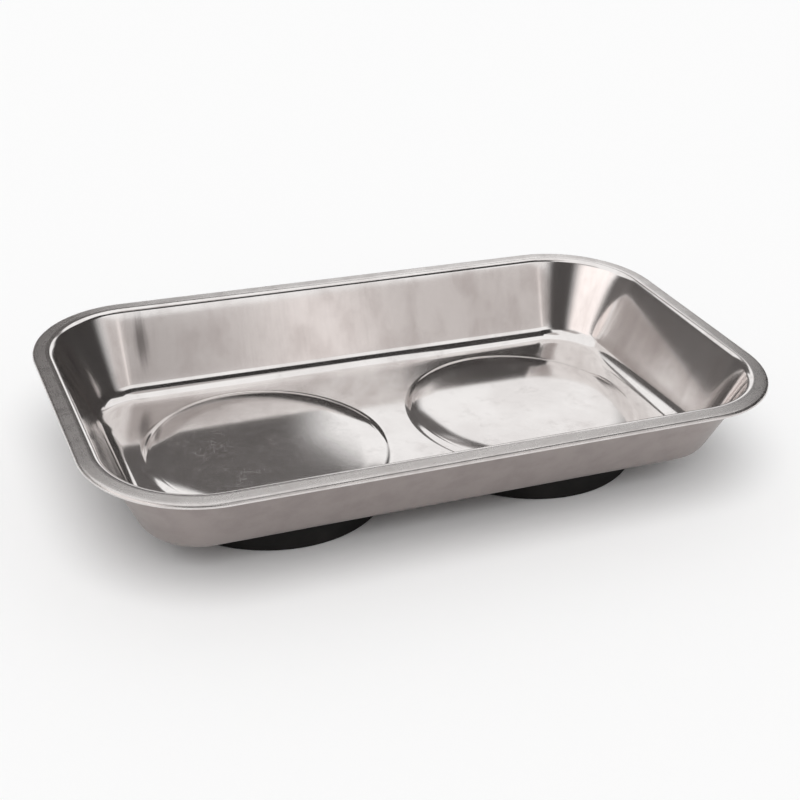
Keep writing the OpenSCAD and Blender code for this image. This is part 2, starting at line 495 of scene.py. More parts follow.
@dataclass(frozen=True)
class DrawnSteel(Finish):
    """Stainless sheet as it leaves the press: bright inside, satin outside, brushed along the rim. The
    outside's colour is kept darker than the steel's own, as painted shade for the dark floor that it
    reflects.

    The glosses are roughnesses, and the depths of the relief are in millimetres.
    """

    bright: Colour = rgb(0.86, 0.832, 0.818)
    smoky: Colour = rgb(0.62, 0.572, 0.556)
    # satin outside: partly the real duller finish, partly painted shade, darker than the steel's own colour
    # to stand in for the dark floor it reflects
    satin: Colour = rgb(0.345, 0.305, 0.293)
    blotch: Colour = rgb(0.28, 0.245, 0.236)
    brushed: Colour = rgb(0.74, 0.71, 0.695)
    handled: Colour = rgb(0.58, 0.545, 0.53)
    # colour of the darker streak high on the back wall
    handprint: Colour = rgb(0.20, 0.185, 0.18)
    floor_gloss: float = 0.08
    wall_gloss: float = 0.115
    outside_gloss: float = 0.36
    rim_gloss: float = 0.29
    haze_gloss: float = 0.42
    wave_depth: float = 0.22
    wall_bow: float = 0.4
    ripple_depth: float = 0.02
    crease_depth: float = 0.07
    line_depth: float = 0.008
    grain_depth: float = 0.0012
    seat_edge: float = 41.0
    left_seat: Spot = (0.0, 0.0, 0.0)
    smudge_at: Spot = (0.0, 0.0, 0.0)

    def shader(self, wires: Wiring) -> Socket:
        """Wires the steel as polished metal with a share of hazy metal where it is smeared or scratched.

        Args:
            wires: The material's wiring.

        Returns:
            The shader.
        """
        marks = SheetMarks(wires)
        scuffs = self.scuffs(marks)
        metal = {"Base Color": self.colour(marks), "Metallic": 1.0, "Normal": self.relief(marks, scuffs)}
        rough = self.roughness(marks)
        polished, hazy = (
            wires.add("ShaderNodeBsdfPrincipled", {}, metal | {"Roughness": (rough + haze).clamped()})
            for haze in (0.0, self.haze_gloss)
        )
        share = 0.02 + marks.smear * 0.06 + marks.tarnish * 0.08 + marks.spots * 0.06 + scuffs * 0.22
        return wires.mixed(share.clamped(), polished, hazy)

    def colour(self, marks: SheetMarks) -> Socket:
        """Colour of the metal: tarnished inside with one darker streak high on the back wall, darkened by
        painted shade and blotched outside, handled on the rim.

        Args:
            marks: The sheet's patterns.

        Returns:
            The colour.
        """
        wires = marks.wires
        # a darker streak, stretched upright, high on the back wall just short of its left corner
        streak_place = wires.mapped(marks.place, (1.0, 0.4, 0.22), 0.0, self.smudge_at)
        streak_reach = wires.distance(streak_place, (0.0, 0.0, 0.0)) + (marks.draw - 0.5) * 0.002
        inner = wires.blend(marks.tarnish.clamped(), self.bright, self.smoky)
        inner = wires.blend(streak_reach.ramp(0.0035, 0.0005) * marks.wall * 0.75, inner, self.handprint)
        # outside: satin colour darkened by painted shade for the dark floor it reflects, with random
        # blotches
        outer = wires.blend((marks.mottle + marks.cloud).ramp(0.8, 1.3) * 0.6, self.satin, self.blotch)
        worn = (marks.mottle.ramp(0.4, 0.7) + marks.brush.ramp(0.4, 0.75)) * 0.5
        edge = wires.blend(worn, self.brushed, self.handled)
        return wires.blend(marks.under, wires.blend(marks.rim, inner, edge), outer)

    def roughness(self, marks: SheetMarks) -> Value:
        """Roughness of the polished share: the gloss of each region, varied by the patterns.

        Args:
            marks: The sheet's patterns.

        Returns:
            The roughness.
        """
        rough = self.floor_gloss + marks.wall * (self.wall_gloss - self.floor_gloss)
        rough = rough + marks.under * (self.outside_gloss - self.floor_gloss)
        rough = rough + marks.rim * (self.rim_gloss - self.wall_gloss)
        rough = rough + (marks.cloud - 0.5) * 0.07 + (marks.grain - 0.5) * 0.05
        rough = rough + (marks.draw - 0.5) * 0.05 * marks.wall + (marks.brush - marks.rim * 0.5) * 0.14
        return rough + (marks.rim * 0.18 + marks.under * 0.06) * (marks.mottle - 0.5)

    def relief(self, marks: SheetMarks, scuffs: Value) -> Socket:
        """Tilts the surface, from the broad waves of the sheet down to its grain.

        Args:
            marks: The sheet's patterns.
            scuffs: 1 on a scratch and 0 off it.

        Returns:
            The tilted normal.
        """
        wires, place = marks.wires, marks.place
        flat_wall = marks.down.ramp(0.009, 0.014) * marks.wall
        normal = None
        for height, depth in (
            (wires.noise(place, 16.0, 1.0, 0.4), self.wave_depth),
            (marks.down.ramp(0.007, 0.035).math("MAXIMUM", marks.under), self.wall_bow),
            (wires.noise(place, 85.0, 2.0, 0.5) * flat_wall, self.ripple_depth),
            (self.seat_crease(marks), self.crease_depth),
            (marks.draw * (0.5 + marks.smear) * marks.wall, self.line_depth),
            (marks.brush, self.line_depth),
            (marks.grain + scuffs * 0.4, self.grain_depth),
        ):
            normal = wires.bump(height, depth * MM, normal)
        return normal

    def seat_crease(self, marks: SheetMarks) -> Value:
        """Fine raised line that the punch leaves round each seat, where its shoulder rolls into the slope.

        Args:
            marks: The sheet's patterns.

        Returns:
            1 on the line and 0 a millimetre off it, and 0 on the outside.
        """
        seats = (self.left_seat, (-self.left_seat[0], *self.left_seat[1:]))
        left, right = (marks.wires.distance(marks.place, seat) for seat in seats)
        reach = left.math("MINIMUM", right)
        edge, wide, narrow = self.seat_edge * MM, 1.1 * MM, 0.1 * MM
        crease = reach.ramp(edge - wide, edge - narrow) * reach.ramp(edge + wide, edge + narrow)
        return crease * (1.0 - marks.under)

    def scuffs(self, marks: SheetMarks) -> Value:
        """Fine scratches from screws and sockets, in four directions and thickest on the left seat.

        Args:
            marks: The sheet's patterns.

        Returns:
            1 on a scratch and 0 off it, and less on the wall.
        """
        wires, place = marks.wires, marks.place
        near = wires.distance(place, self.left_seat).ramp(0.05, 0.015)
        worn = wires.noise(place, 30.0, 2.0, 0.5).ramp(0.4, 0.65) * 0.35 + near * 0.75
        runs = [
            wires.mapped(place, (1.0, stretch, 1.0), turn)
            for turn, stretch in ((12.0, 22.0), (57.0, 28.0), (101.0, 34.0), (148.0, 40.0))
        ]
        scratched = sum(wires.noise(run, 150.0, 2.0, 0.5).ramp(0.61, 0.69) for run in runs)
        return (scratched * worn).clamped() * (1.0 - marks.wall * 0.8)


@dataclass(frozen=True)
class MouldedRubber(Finish):
    """Matt black rubber with the fine texture of a spark eroded mould."""

    dark: Colour = rgb(0.007, 0.0065, 0.006)
    dusty: Colour = rgb(0.018, 0.0165, 0.0155)

    def shader(self, wires: Wiring) -> Socket:
        """Wires the rubber: dusty patches and a fine moulded grain.

        Args:
            wires: The material's wiring.

        Returns:
            The shader.
        """
        place = wires.place()
        cloud = wires.noise(place, 60.0, 4.0, 0.6)
        grain = wires.noise(place, 3200.0, 2.0, 0.6)
        coat = wires.add("ShaderNodeBsdfPrincipled", {}, {
            "Base Color": wires.blend(cloud.ramp(0.4, 0.8), self.dark, self.dusty),
            "Roughness": 0.7 + (cloud - 0.5) * 0.2,
            "Specular IOR Level": 0.2,
            "Normal": wires.bump(grain, 0.00002),
        })
        return coat.outputs[0]


@dataclass(frozen=True)
class PlatedMetal(Finish):
    """Small turned or stamped hardware: fine tool marks round it, and dull patches where it was handled."""

    clean: Colour = rgb(0.74, 0.75, 0.765)
    dull: Colour = rgb(0.55, 0.56, 0.575)
    gloss: float = 0.24

    def shader(self, wires: Wiring) -> Socket:
        """Wires the metal: dull patches, fine grain and marks running round the piece.

        Args:
            wires: The material's wiring.

        Returns:
            The shader.
        """
        place = wires.place()
        patch = wires.noise(place, 420.0, 3.0, 0.6)
        grain = wires.noise(place, 6000.0, 2.0, 0.6)
        marks = wires.noise(wires.mapped(place, (1.0, 1.0, 14.0)), 1400.0, 2.0, 0.5)
        coat = wires.add("ShaderNodeBsdfPrincipled", {}, {
            "Base Color": wires.blend(patch.ramp(0.38, 0.72), self.clean, self.dull),
            "Metallic": 1.0,
            "Roughness": (self.gloss + (patch - 0.5) * 0.25 + (grain - 0.5) * 0.1).clamped(),
            "Normal": wires.bump(grain, 0.000004, wires.bump(marks, 0.000012)),
        })
        return coat.outputs[0]


@dataclass(frozen=True)
class SinteredFerrite(Finish):
    """Hard ferrite: charcoal grey, ground smooth with small pits and darker specks."""

    body: Colour = rgb(0.045, 0.046, 0.050)
    worn: Colour = rgb(0.085, 0.085, 0.090)

    def shader(self, wires: Wiring) -> Socket:
        """Wires the ferrite: cloudy grey with pits.

        Args:
            wires: The material's wiring.

        Returns:
            The shader.
        """
        place = wires.place()
        cloud = wires.noise(place, 90.0, 4.0, 0.6)
        pits = wires.noise(place, 1500.0, 2.0, 0.7)
        coat = wires.add("ShaderNodeBsdfPrincipled", {}, {
            "Base Color": wires.blend(cloud.ramp(0.4, 0.7), self.body, self.worn),
            "Metallic": 0.2,
            "Roughness": (0.52 + (cloud - 0.5) * 0.3).clamped(),
            "Normal": wires.bump(pits.ramp(0.25, 0.45), 0.00003),
        })
        return coat.outputs[0]


# ---------------------------------------------------------------- the pan


@dataclass
class PressedPan:
    """Drawn stainless pan: walls with a turned rim, and two raised seats pressed into its floor."""

    corner_radius: float = 37.5
    sheet: float = 0.8
    wall_slope: float = 25.5
    floor_bend: float = 7.0
    rim_flat: float = 4.0
    rim_bend: float = 2.4
    edge_roll: float = 1.1
    edge_break: float = 0.15
    rim_fall: float = 3.0
    seat_inset: float = 6.0
    seat_crown: float = 60.0
    seat_crown_angle: float = 7.0
    seat_shoulder: float = 10.0
    seat_slope: float = 15.5
    seat_foot: float = 6.0
    half_length: float = field(init=False)
    half_width: float = field(init=False)
    rim_top: float = field(init=False)
    floor_top: float = field(init=False)
    seat_rise: float = field(init=False)
    seat_flat: float = field(init=False)
    foot_x: float = field(init=False)
    corner_x: float = field(init=False)
    corner_y: float = field(init=False)
    floor_edge: float = field(init=False)

    def __post_init__(self) -> None:
        """Takes the overall sizes and the seats' places from the frame."""
        low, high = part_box("tray_pan")
        magnet_low, magnet_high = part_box("right_ring_magnet")
        self.half_length, self.half_width = high[0] / MM, high[1] / MM
        self.rim_top, self.floor_top = high[2] / MM, low[2] / MM + self.sheet
        stud_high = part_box("right_weld_stud")[1]
        self.seat_rise = (stud_high[2] - low[2]) / MM
        self.seat_flat = (magnet_high[0] - magnet_low[0]) / 2.0 / MM - self.seat_inset
        self.foot_x = (magnet_low[0] + magnet_high[0]) / 2.0 / MM
        self.corner_x = self.half_length - self.corner_radius
        self.corner_y = self.half_width - self.corner_radius

    def wall_section(self) -> tuple[np.ndarray, np.ndarray, np.ndarray]:
        """Section through wall and rim, in (distance out from the corner's centre, height).

        The upper face runs from the floor up the wall and over the rim to the turned edge as arcs and
        straight stretches that touch; the under face is the same run, one sheet thickness behind it. How
        far out the floor ends is kept in floor_edge.

        Returns:
            The points from floor to edge and back to the floor, and for each the share of under face and
            the share of rim.
        """
        slope = math.radians(self.wall_slope)
        face = np.array([-math.cos(slope), math.sin(slope)])
        down = np.array([-math.sin(slope), -math.cos(slope)])
        fall = math.radians(self.rim_fall)
        level = np.array([math.sin(fall), math.cos(fall)])
        inward = np.array([-math.cos(fall), math.sin(fall)])
        reach = self.rim_flat * inward + (self.edge_roll - self.rim_bend) * level
        rim = np.array([self.corner_radius - self.edge_roll + reach[0], self.rim_top - self.rim_bend])
        edge = rim - reach
        top = rim + self.rim_bend * face
        rise = top[1] + self.floor_bend * face[1] - self.floor_top - self.floor_bend
        foot = top + rise / math.cos(slope) * down
        bend = foot + self.floor_bend * face
        thick = self.sheet
        self.floor_edge = bend[0]
        tip_out, tip_in = self.edge_roll, self.edge_roll - thick
        ease = self.edge_break
        tip = edge[1] - ease
        upper = np.concatenate([
            arc(bend, self.floor_bend, -90.0, -self.wall_slope, 14),
            line(foot, top, 9),
            arc(rim, self.rim_bend, 180.0 - self.wall_slope, 90.0 - self.rim_fall, 12),
            line(rim + self.rim_bend * level, edge + tip_out * level, 4),
            arc(edge, tip_out, 90.0 - self.rim_fall, 0.0, 10),
            arc((edge[0] + tip_out - ease, tip), ease, 0.0, -90.0, 3),
        ])
        under = np.concatenate([
            arc((edge[0] + tip_in + ease, tip), ease, -90.0, -180.0, 3),
            arc(edge, tip_in, 0.0, 90.0 - self.rim_fall, 6),
            line(edge + tip_in * level, rim + (self.rim_bend - thick) * level, 4),
            arc(rim, self.rim_bend - thick, 90.0 - self.rim_fall, 180.0 - self.wall_slope, 10),
            line(top - thick * face, foot - thick * face, 9),
            arc(bend, self.floor_bend + thick, -self.wall_slope, -90.0, 14),
        ])
        share = np.concatenate([np.zeros(len(upper)), np.ones(len(under))])
        fade = 0.6
        high = upper[:, 1] > self.rim_top - self.rim_bend
        past = np.clip((upper[:, 0] - rim[0]) / fade, 0.0, 1.0) * high
        flange = np.concatenate([past, np.zeros(len(under))])
        return np.concatenate([upper, under]), share, flange

    def stations(self) -> tuple[np.ndarray, np.ndarray]:
        """Stations round the right half of the plan, from the middle of the front to that of the back.

        A station is a base point and an outward direction. The base stays on a corner's centre while the
        direction turns through the corner, and slides between centres along a side.

        Returns:
            Base points and outward directions, each of shape (n, 2).
        """
        x, y = self.corner_x, self.corner_y
        long, short, round_corner = 26, 20, 27
        front = np.stack([np.linspace(0.0, x, long), np.full(long, -y)], axis=1)
        side = np.stack([np.full(short, x), np.linspace(-y, y, short)], axis=1)
        turn = np.linspace(0.0, 90.0, round_corner + 2)[1:-1]
        base = np.concatenate([
            front, np.tile([[x, -y]], (round_corner, 1)), side, np.tile([[x, y]], (round_corner, 1)),
            front[::-1] * [1, -1],
        ])
        angle = np.radians(np.concatenate([
            np.full(long, -90.0), turn - 90.0, np.zeros(short), turn, np.full(long, 90.0)
        ]))
        return base, np.stack([np.cos(angle), np.sin(angle)], axis=1)

    def seat_section(self, under: float) -> np.ndarray:
        """One face of the pressed seat, in (distance from the seat's centre, height).

        From a flat, a shallow crown rolls over into a rounded shoulder, then a straight slope falls to a
        hollow foot; each touches the next, and the height of the seat sets the length of the slope.

        Args:
            under: How far the face lies under the upper one: 0 or the sheet's thickness.

        Returns:
            The points from the seat's centre out to the floor.
        """
        turn, slope = math.radians(self.seat_crown_angle), math.radians(self.seat_slope)
        high = self.floor_top + self.seat_rise
        crown = np.array([self.seat_flat, high - self.seat_crown])
        over = np.array([math.sin(turn), math.cos(turn)])
        shoulder = crown + (self.seat_crown - self.seat_shoulder) * over
        face = np.array([math.sin(slope), math.cos(slope)])
        start = shoulder + self.seat_shoulder * face
        drop = start[1] - self.floor_top - self.seat_foot * (1.0 - face[1])
        foot = start + drop * np.array([1.0 / math.tan(slope), -1.0]) + self.seat_foot * face
        inner = np.array([[0.0, 0.25, 0.5, 0.75, 0.95]]).T * [self.seat_flat, 0.0]
        inner[:, 1] = high - under
        crown_stop, slope_stop = 90.0 - self.seat_crown_angle, 90.0 - self.seat_slope
        return np.concatenate([
            inner,
            arc(crown, self.seat_crown - under, 90.0, crown_stop, 10),
            arc(shoulder, self.seat_shoulder - under, crown_stop, slope_stop, 8)[1:],
            arc(foot, self.seat_foot + under, 180.0 + slope_stop, 270.0, 8),
        ])

    def floor_grid(self, under: float) -> np.ndarray:
        """Right half of the floor as rings round its seat, one column for each station.

        A column leaves the seat's centre towards its station, follows the seat's section to the foot of
        the step, and runs level to the station's point on the floor's edge or on the middle line.

        Args:
            under: How far the face lies under the upper one.

        Returns:
            The grid, of shape (rows, columns, 3).
        """
        base, out = self.stations()
        rim = base + self.floor_edge * out
        middle = line(tuple(rim[-1]), tuple(rim[0]), 40)
        ends = np.concatenate([rim, middle])
        centre = np.array([self.foot_x, 0.0])
        away = ends - centre
        away /= np.linalg.norm(away, axis=1, keepdims=True)
        section = self.seat_section(under)
        rings = centre + section[:, None, :1] * away
        heights = np.broadcast_to(section[:, None, 1:], rings.shape[:2] + (1,))
        share = np.linspace(0.0, 1.0, 8)[1:, None, None]
        level = rings[-1] + share * (ends - rings[-1])
        flat = np.full(level.shape[:2] + (1,), self.floor_top - under)
        return np.concatenate([np.dstack([rings, heights]), np.dstack([level, flat])])

    def left_seat(self) -> Spot:
        """Middle of the left seat, in metres."""
        return (-self.foot_x * MM, 0.0, self.floor_top * MM)

    def thumbed_corner(self) -> Spot:
        """Place high on the back wall, just short of its left corner, in metres."""
        return (-self.corner_x * 0.945 * MM, self.half_width * 0.84 * MM, self.rim_top * 0.74 * MM)

    def build(self) -> None:
        """Builds the pan as one closed skin, with the numbers that its finish reads at each point.

        They are "under" for the outside, "rim" for the flange, "round_x" and "round_y" for the nearest
        place on the outline, and "down" for the run over the wall, the last three in metres.
        """
        skin = Skin()
        section, share, flange = self.wall_section()
        base, out = self.stations()
        base, out = np.concatenate([base, -base[1:-1]]), np.concatenate([out, -out[1:-1]])
        plan = base + section[:, None, :1] * out
        height = np.broadcast_to(section[:, None, 1:], plan.shape[:2] + (1,))
        outline = (base + self.corner_radius * out) * MM
        deep = np.linalg.norm(np.diff(section, axis=0, prepend=section[:1]), axis=1)
        skin.grid(np.dstack([plan, height]), (False, True), under=share[:, None], rim=flange[:, None],
                  round_x=outline[:, 0], round_y=outline[:, 1], down=np.cumsum(deep)[:, None] * MM)
        for side in (1.0, -1.0):
            for under, face in ((0.0, 1), (self.sheet, -1)):
                floor = self.floor_grid(under)[:, ::face] * [side, side, 1.0]
                plain = dict.fromkeys(("rim", "round_x", "round_y", "down"), np.array(0.0))
                skin.grid(floor, (False, True), under=np.array(float(under > 0.0)), **plain)
        steel = DrawnSteel("drawn_steel", left_seat=self.left_seat(), smudge_at=self.thumbed_corner())
        pan = skin.mesh("pressed_pan")
        pan.data.materials.append(steel.material())
        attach(pan, BODY)
        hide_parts("tray_pan")
        log.info("pressed_pan: %d faces", len(pan.data.polygons))


# ---------------------------------------------------------------- the feet


class Side(Enum):
    """Which of the two feet."""

    LEFT = "left"
    RIGHT = "right"


@dataclass
class MagnetFoot:
    """Ring magnet in its rubber cover, and the stud, washers and nut that clamp the cover to the pan."""

    side: Side
    rubber: bpy.types.Material
    ferrite: bpy.types.Material
    zinc: bpy.types.Material
    spring: bpy.types.Material
    bare: bpy.types.Material
    magnet_bore: float = 23.0
    rubber_clearance: float = 0.1
    cover_wall: float = 3.1
    cover_lip: float = 1.8
    cover_draft: float = 0.3
    cover_edge: float = 0.9
    lip_drop: float = 0.76
    hub_wall: float = 1.5
    hub_web: float = 2.0
    stud_radius: float = 3.0
    stud_clearance: float = 0.4
    thread_pitch: float = 1.0
    thread_gap: float = 0.05
    split_width: float = 1.0
    split_slant: float = 20.0
    crisp_angle: float = 35.0
    centre: Pair = field(init=False)
    magnet_radius: float = field(init=False)

    def __post_init__(self) -> None:
        """Takes the foot's place and the magnet's radius from the magnet."""
        low, high = self.span("ring_magnet")
        self.centre = ((low[0] + high[0]) / 2.0, 0.0)
        self.magnet_radius = (high[0] - low[0]) / 2.0

    def build(self) -> None:
        """Builds the pieces that are drawn anew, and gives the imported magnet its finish."""
        self.cover()
        self.flat_washer()
        self.spring_washer()
        self.nut()
        self.stud()
        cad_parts[f"{self.side.value}_ring_magnet"].material_slots[0].material = self.ferrite

    def span(self, piece: str) -> tuple[list[float], list[float]]:
        """Low and high corners of a node of this foot, in millimetres."""
        low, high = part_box(f"{self.side.value}_{piece}")
        return [v / MM for v in low], [v / MM for v in high]

    def finish(self, skin: Skin, piece: str, name: str, slot: str, material: bpy.types.Material) -> None:
        """Makes the object of one piece, hangs it on the body and hides the node it stands in for.

        Args:
            skin: The collected surface.
            piece: Name of the node without its side.
            name: Name for the new object without its side.
            slot: Name of a material slot; not used.
            material: Material to give it.
        """
        made = skin.mesh(f"{self.side.value}_{name}", self.crisp_angle)
        made.data.materials.append(material)
        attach(made, BODY)
        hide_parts(f"{self.side.value}_{piece}")
        log.info("%s: %d faces", made.name, len(made.data.polygons))

    def ring(self, corners: list[Spot], columns: int) -> Skin:
        """Turns one closed outline about the foot's axis.

        Args:
            corners: (radius, height, rounding) of each corner, anticlockwise.
            columns: Number of steps round the axis.

        Returns:
            The skin with the turned surface.
        """
        outline = crisp(corners)
        skin = Skin()
        skin.grid(turned(outline[:, :1], outline[:, 1:], self.centre, columns), (True, True))
        return skin

    def cover(self) -> None:
        """Rubber cup: standing ring, drafted wall, lip, pocket for the magnet, hub and clamped web."""
        low, high = self.span("rubber_cover")
        pocket = self.span("ring_magnet")[0][2]
        bore = self.magnet_radius + self.rubber_clearance
        wall = bore + self.cover_wall
        lip, top = wall - self.cover_lip, high[2] - self.lip_drop
        hub = self.magnet_bore / 2.0 - self.rubber_clearance
        recess = hub - self.hub_wall
        flange = self.span("weld_stud")
        hole = (flange[1][0] - flange[0][0]) / 2.0 + self.rubber_clearance
        web = high[2] - self.hub_web
        skin = self.ring([
            (recess, low[2], 0.4), (wall + self.cover_draft, low[2], self.cover_edge),
            (wall, top - self.cover_lip, 0.5), (lip, top, 0.3), (bore, top, 0.25),
            (bore, pocket, 0.0), (hub, pocket, 0.0), (hub, high[2], 0.25), (hole, high[2], 0.2),
            (hole, web, 0.2), (recess, web, 0.4),
        ], 192)
        self.finish(skin, "rubber_cover", "moulded_cover", "rubber", self.rubber)

    def flat_washer(self) -> None:
        """Stamped washer: the edge is rolled over where the punch entered and sharper where it left."""
        low, high = self.span("flat_washer")
        outer = (high[0] - low[0]) / 2.0
        inner = self.stud_radius + self.stud_clearance / 2.0
        skin = self.ring([
            (inner, low[2], 0.3), (outer, low[2], 0.35), (outer, high[2], 0.1), (inner, high[2], 0.1),
        ], 96)
        self.finish(skin, "flat_washer", "stamped_washer", "zinc", self.zinc)

    def spring_washer(self) -> None:
        """Split washer: a rounded bar bent round the stud, ending at the two faces of its slanted split.

        Point (i, j) of the bar's outline sits at an angle running evenly from the one face to the other,
        where the faces lie at arcsin((shift +- half width) / radius) and the shift follows the height.
        """
        low, high = self.span("spring_washer")
        middle = (low[2] + high[2]) / 2.0
        outer = high[1]
        inner = self.stud_radius + self.stud_clearance / 2.0
        outline = crisp([
            (inner, low[2], 0.2), (outer, low[2], 0.3), (outer, high[2], 0.3), (inner, high[2], 0.2),
        ])[::-1]
        slant = math.radians(self.split_slant)
        shift = -(outline[:, 1] - middle) * math.tan(slant)
        half = self.split_width / 2.0 / math.cos(slant)
        first = np.arcsin((shift + half) / outline[:, 0])
        last = 2.0 * np.pi + np.arcsin((shift - half) / outline[:, 0])
        share = np.linspace(0.0, 1.0, 73)
        angle = first[:, None] * (1.0 - share) + last[:, None] * share
        radius, height = outline[:, :1], np.broadcast_to(outline[:, 1:], angle.shape)
        x = self.centre[0] + radius * np.cos(angle)
        bar = np.stack([x, radius * np.sin(angle), height], axis=2)
        ends = [np.broadcast_to(bar[:, [end]].mean(axis=0), (len(bar), 1, 3)) for end in (0, -1)]
        skin = Skin()
        skin.grid(np.concatenate([ends[0], bar, ends[1]], axis=1), (True, False))
        self.finish(skin, "spring_washer", "split_washer", "spring", self.spring)

    def nut(self) -> None:
        """Hexagon nut, cut by a cone at each end, with a threaded bore.

        Each flat lies at half the width / cos a, with a the angle off the middle of the flat.
        """
        low, high = self.span("hex_nut")
        columns, lead, ease = 96, 0.3, 0.05
        flats = high[1]
        off = np.mod(np.linspace(0.0, 360.0, columns, endpoint=False), 60.0) - 30.0
        side = flats / np.cos(np.radians(off))[None, :]
        cone = (side - flats) * math.tan(math.radians(30.0))
        mouth = self.stud_radius + self.thread_gap
        bore = np.linspace(high[2] - lead, low[2] + lead, 89)[:, None]
        thread = screw(bore, columns, self.stud_radius, self.thread_pitch) + self.thread_gap
        flat = np.array([[mouth + 0.2], [(mouth + flats) / 2.0], [flats - ease]]) + 0.0 * side
        share = np.array([[0.0], [0.35], [0.65], [1.0]])
        radius = np.concatenate([flat, side + 0.0 * share, flat[::-1], thread])
        level = np.ones((3, 1)) * np.ones((1, columns))
        upright = (low[2] + cone) * (1.0 - share) + (high[2] - cone) * share
        height = np.concatenate([low[2] * level, upright, high[2] * level, bore + 0.0 * side])
        skin = Skin()
        skin.grid(turned(radius, height, self.centre, columns), (True, True))
        self.finish(skin, "hex_nut", "threaded_nut", "zinc", self.zinc)

    def stud(self) -> None:
        """Weld stud: chamfered tip, screw thread that runs out under the flange, and the flange itself."""
        low, high = self.span("weld_stud")
        columns = 72
        flange = (high[0] - low[0]) / 2.0
        tip, collar = self.stud_radius / 6.0, 0.9
        height = np.linspace(low[2], high[2] - collar - 0.6, 110)[:, None]
        thread = screw(height, columns, self.stud_radius, self.thread_pitch)
        shank = np.minimum(thread, self.stud_radius - tip + height - low[2])
        under = high[2] - collar
        neck = self.stud_radius
        end = np.array([
            [neck, under - 0.4], [neck, under - 0.25], [neck + 0.08, under - 0.07], [neck + 0.25, under],
            [flange - 0.1, under], [flange, under + 0.1],
            [flange, high[2] - 0.05], [flange - 0.05, high[2]], [0.0, high[2]],
        ])
        one = np.ones((1, columns))
        radius = np.concatenate([0.0 * one, shank, end[:, :1] * one])
        height = np.concatenate([low[2] * one, height * one, end[:, 1:] * one])
        skin = Skin()
        skin.grid(turned(radius, height, self.centre, columns), (False, True))
        self.finish(skin, "weld_stud", "threaded_stud", "stud", self.bare)


# ---------------------------------------------------------------- studio


@dataclass
class Camera:
    """Still camera on a tripod, in front of the tray and to its left, looking down into the well.

    Angles are in degrees and lengths in millimetres.
    """

    azimuth: float = -24.151
    elevation: float = 28.157
    roll: float = 3.033
    distance: float = 513.04
    lens: float = 64.25
    aim: Spot = (3.688, 8.851, 20.0)

    def build(self) -> None:
        """Places the camera: it looks from aim + distance * (direction), rolled about its own axis."""
        azimuth, elevation = math.radians(self.azimuth), math.radians(self.elevation)
        back = Vector((
            math.sin(azimuth) * math.cos(elevation),
            -math.cos(azimuth) * math.cos(elevation),
            math.sin(elevation),
        ))
        data = bpy.data.cameras.new("camera")
        data.lens = self.lens
        data.sensor_width = 36.0
        data.clip_start, data.clip_end = 0.01, 20.0
        seat = bpy.data.objects.new("camera", data)
        bpy.context.scene.collection.objects.link(seat)
        roll = Matrix.Rotation(math.radians(self.roll), 3, "Z")
        turn = (-back).to_track_quat("-Z", "Y").to_matrix() @ roll
        place = (Vector(self.aim) + back * self.distance) * MM
        seat.matrix_world = Matrix.LocRotScale(place, turn, None)
        bpy.context.scene.camera = seat


@dataclass
class Card:
    """Curved card that only reflections see: a patch of a sphere round the tray, feathered at its edges.

    Each row of the outline gives an elevation with the azimuths of the card's two sides there, in degrees.
    The feathers are the shares of the card over which its left, right, lower and upper edges fade in.
    """

    name: str
    outline: tuple[tuple[float, ...], ...]
    shade: float
    feather: tuple[float, ...] = (0.2, 0.2, 0.2, 0.2)
    distance: float = 1600.0

    def build(self) -> None:
        """Point (i, j) is distance * (cos e sin a, cos e cos a, sin e) for azimuth a and elevation e."""
        rows = np.array(self.outline)
        elevation = np.linspace(rows[0, 0], rows[-1, 0], 33)[:, None]
        across, upward = np.linspace(0.0, 1.0, 33), np.linspace(0.0, 1.0, 33)[:, None]
        left = np.interp(elevation, rows[:, 0], rows[:, 1])
        right = np.interp(elevation, rows[:, 0], rows[:, 2])
        azimuth = np.radians(left + (right - left) * across)
        elevation = np.radians(elevation)
        grid = np.stack([
            np.cos(elevation) * np.sin(azimuth),
            np.cos(elevation) * np.cos(azimuth),
            np.sin(elevation) + 0.0 * azimuth,
        ], axis=2) * self.distance
        skin = Skin()
        skin.grid(grid, (False, False), across=across, upward=upward)
        card = skin.mesh(self.name)
        card.visible_camera = card.visible_diffuse = card.visible_shadow = False
        made = bpy.data.materials.new(self.name)
        wires = Wiring(made)
        across, upward = wires.attribute("across"), wires.attribute("upward")
        left, right, low, high = self.feather
        cover = across.ramp(0.0, left) * across.ramp(1.0, 1.0 - right)
        cover = cover * upward.ramp(0.0, low) * upward.ramp(1.0, 1.0 - high)
        clear = wires.add("ShaderNodeBsdfTransparent", {}, {})
        glow = wires.add("ShaderNodeEmission", {}, {"Color": rgb(1.0, 0.94, 0.92), "Strength": self.shade})
        wires.finish(wires.mixed(cover, clear, glow))
        card.data.materials.append(made)


